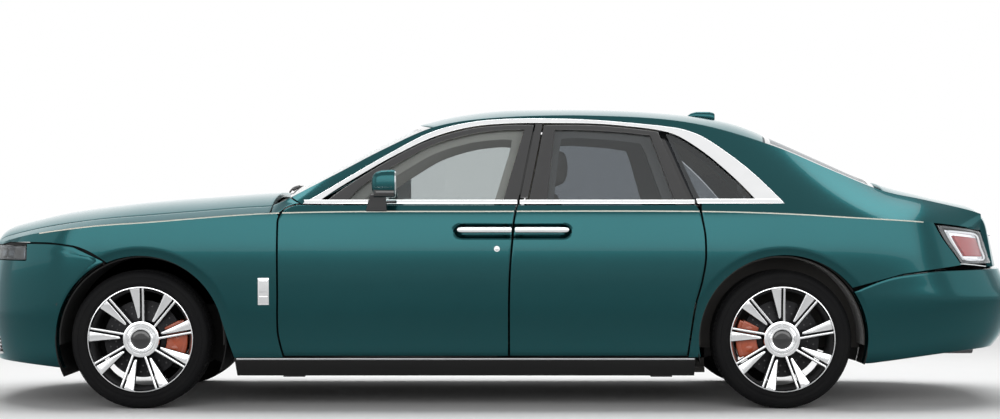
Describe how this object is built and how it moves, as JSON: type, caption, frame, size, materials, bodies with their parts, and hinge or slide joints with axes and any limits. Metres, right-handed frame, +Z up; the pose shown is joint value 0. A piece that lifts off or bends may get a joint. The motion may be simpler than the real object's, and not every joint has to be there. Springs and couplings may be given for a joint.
{
  "type": "luxury sedan",
  "caption": "Long four-door saloon car with upright vaned grille, rear-hinged back doors, spoked wheels and chrome window surround; doors, lids, steering and wheels move.",
  "frame": {"origin": "on the ground under the middle of the car's length and width", "axes": "+X towards the tail, +Y towards the car's right side, +Z up"},
  "size_m": [5.5437, 2.144, 1.571],
  "materials": {
    "paint": "gloss",
    "chrome": "polished",
    "black": "satin",
    "glass": "clear",
    "leather": "satin",
    "steel": "matte",
    "alloy": "polished",
    "tyre": "matte",
    "lamp": "gloss",
    "red_lamp": "gloss"
  },
  "bodies": {
    "body": {"floor_pan": "black", "front_bulkhead": "black", "rear_tub": "black", "cabin_frame": "paint", "quarter_left": "paint", "quarter_right": "paint", "roof_panel": "paint", "fender_left": "paint", "fender_right": "paint", "front_bumper": "paint", "rear_bumper": "paint", "grille": "chrome", "fixed_glass": "glass", "headlamps": "lamp", "tail_lamps": "red_lamp", "window_surround": "chrome", "seats": "leather", "dashboard": "leather", "steering_wheel": "black", "engine_block": "steel", "front_axle": "steel", "rear_axle": "steel", "exhaust": "steel", "antenna_fin": "paint"},
    "bonnet": {"bonnet": "paint"},
    "boot_lid": {"boot_lid": "paint"},
    "door_front_left": {"door_front_left": "paint", "glass_front_left": "glass", "handle_front_left": "chrome", "mirror_left": "paint"},
    "door_rear_left": {"door_rear_left": "paint", "glass_rear_left": "glass", "handle_rear_left": "chrome"},
    "knuckle_left": {"knuckle_left": "steel"},
    "wheel_front_left": {"wheel_front_left": "alloy", "tyre_front_left": "tyre"},
    "wheel_rear_left": {"wheel_rear_left": "alloy", "tyre_rear_left": "tyre"},
    "door_front_right": {"door_front_right": "paint", "glass_front_right": "glass", "handle_front_right": "chrome", "mirror_right": "paint"},
    "door_rear_right": {"door_rear_right": "paint", "glass_rear_right": "glass", "handle_rear_right": "chrome"},
    "knuckle_right": {"knuckle_right": "steel"},
    "wheel_front_right": {"wheel_front_right": "alloy", "tyre_front_right": "tyre"},
    "wheel_rear_right": {"wheel_rear_right": "alloy", "tyre_rear_right": "tyre"}
  },
  "joints": [
    {"name": "door_front_left_hinge", "type": "hinge", "parent": "body", "child": "door_front_left", "pos_m": [-1.1, -0.977, 0.6], "axis": [0, 0, -1], "range_deg": [0, 70]},
    {"name": "door_rear_left_hinge", "type": "hinge", "parent": "body", "child": "door_rear_left", "pos_m": [1.01, -0.988, 0.6], "axis": [0, 0, 1], "range_deg": [0, 80]},
    {"name": "steer_left", "type": "hinge", "parent": "body", "child": "knuckle_left", "pos_m": [-1.845, -0.785, 0.356], "axis": [0, 0, 1], "range_deg": [-35, 35]},
    {"name": "wheel_front_left_spin", "type": "hinge", "parent": "knuckle_left", "child": "wheel_front_left", "pos_m": [-1.845, -0.835, 0.356], "axis": [0, -1, 0], "continuous": true},
    {"name": "wheel_rear_left_spin", "type": "hinge", "parent": "body", "child": "wheel_rear_left", "pos_m": [1.45, -0.835, 0.356], "axis": [0, -1, 0], "continuous": true},
    {"name": "door_front_right_hinge", "type": "hinge", "parent": "body", "child": "door_front_right", "pos_m": [-1.1, 0.977, 0.6], "axis": [0, 0, 1], "range_deg": [0, 70]},
    {"name": "door_rear_right_hinge", "type": "hinge", "parent": "body", "child": "door_rear_right", "pos_m": [1.01, 0.988, 0.6], "axis": [0, 0, -1], "range_deg": [0, 80]},
    {"name": "steer_right", "type": "hinge", "parent": "body", "child": "knuckle_right", "pos_m": [-1.845, 0.785, 0.356], "axis": [0, 0, 1], "range_deg": [-35, 35]},
    {"name": "wheel_front_right_spin", "type": "hinge", "parent": "knuckle_right", "child": "wheel_front_right", "pos_m": [-1.845, 0.835, 0.356], "axis": [0, -1, 0], "continuous": true},
    {"name": "wheel_rear_right_spin", "type": "hinge", "parent": "body", "child": "wheel_rear_right", "pos_m": [1.45, 0.835, 0.356], "axis": [0, -1, 0], "continuous": true},
    {"name": "bonnet_hinge", "type": "hinge", "parent": "body", "child": "bonnet", "pos_m": [-1.17, 0, 1.105], "axis": [0, 1, 0], "range_deg": [0, 55]},
    {"name": "boot_lid_hinge", "type": "hinge", "parent": "body", "child": "boot_lid", "pos_m": [2.03, 0, 1.15], "axis": [0, -1, 0], "range_deg": [0, 70]}
  ],
  "couplings": [
    {"joint": "steer_right", "follows": "steer_left", "ratio": 1}
  ]
}
